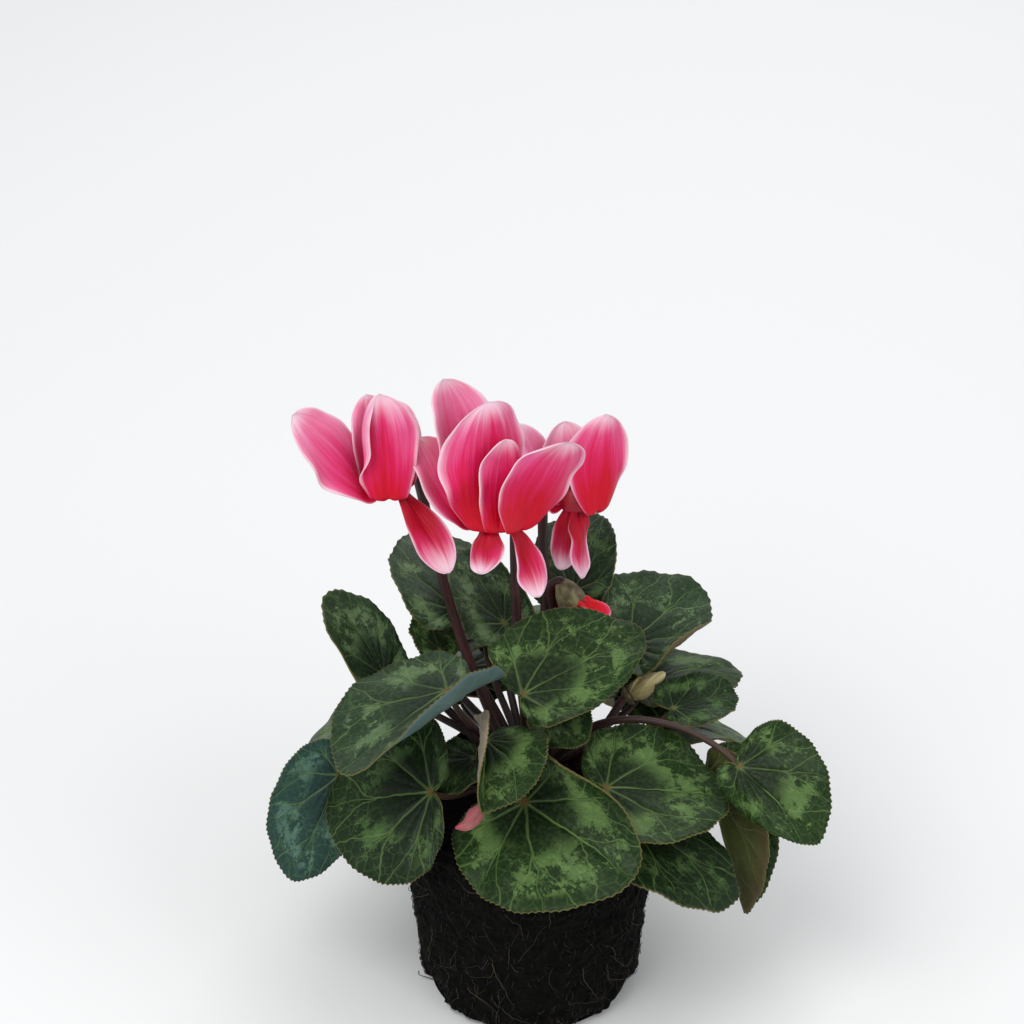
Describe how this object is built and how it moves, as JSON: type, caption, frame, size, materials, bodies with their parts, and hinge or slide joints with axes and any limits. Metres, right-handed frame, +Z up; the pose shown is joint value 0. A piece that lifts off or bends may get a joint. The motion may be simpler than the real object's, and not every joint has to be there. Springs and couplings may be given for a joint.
{
  "type": "potted cyclamen plant",
  "caption": "Florist's cyclamen in flower: heart-shaped marbled leaves round upright stalks with swept-back two-tone blooms, growing from a bare pot-shaped root ball.",
  "frame": {"origin": "centre of the flat underside of the root ball, on the surface that the plant stands on", "axes": "+Z up; -Y towards the front of the plant, where most flowers and the fullest leaves are; +X to the right seen from the front"},
  "size_m": [0.2178, 0.189, 0.2597],
  "materials": {
    "soil": "damp fibrous peat, rough, with fine pale roots",
    "stalk": "dark red-brown, smooth, slightly shiny",
    "leaf": "dark green with silver-green marbling and pale veins, satin",
    "petal": "deep rose at the mouth, paling to a pink margin, satin",
    "opening": "bright red, satin",
    "bud": "pale green-cream, matt"
  },
  "bodies": {
    "root": {"root_ball": "soil", "corm_with_stalks": "stalk", "leaf_back_centre": "leaf", "leaf_back_left_upper": "leaf", "leaf_back_low_1": "leaf", "leaf_back_low_2": "leaf", "leaf_back_low_3": "leaf", "leaf_back_low_4": "leaf", "leaf_back_low_5": "leaf", "leaf_back_middle_1": "leaf", "leaf_back_middle_2": "leaf", "leaf_back_middle_3": "leaf", "leaf_back_middle_4": "leaf", "leaf_back_right_upper": "leaf", "leaf_centre_front": "leaf", "leaf_centre_front_small": "leaf", "leaf_left_back_curled": "leaf", "leaf_left_back_small": "leaf", "leaf_left_front": "leaf", "leaf_left_front_upper": "leaf", "leaf_left_low": "leaf", "leaf_right_back_upper": "leaf", "leaf_right_far": "leaf", "leaf_right_front": "leaf", "leaf_right_front_low": "leaf", "leaf_right_hanging": "leaf", "leaf_right_small": "leaf", "leaf_top_front": "leaf", "bloom_centre": "petal", "bloom_hooked": "bud", "bloom_left": "petal", "bloom_opening": "opening", "bloom_pale": "bud", "bloom_right": "petal", "flower_stalk_centre": "stalk", "flower_stalk_left": "stalk", "flower_stalk_right": "stalk", "leaf_back_under_1": "leaf", "leaf_back_under_2": "leaf", "leaf_inner_front": "leaf", "leaf_inner_left": "leaf"}
  },
  "joints": []
}
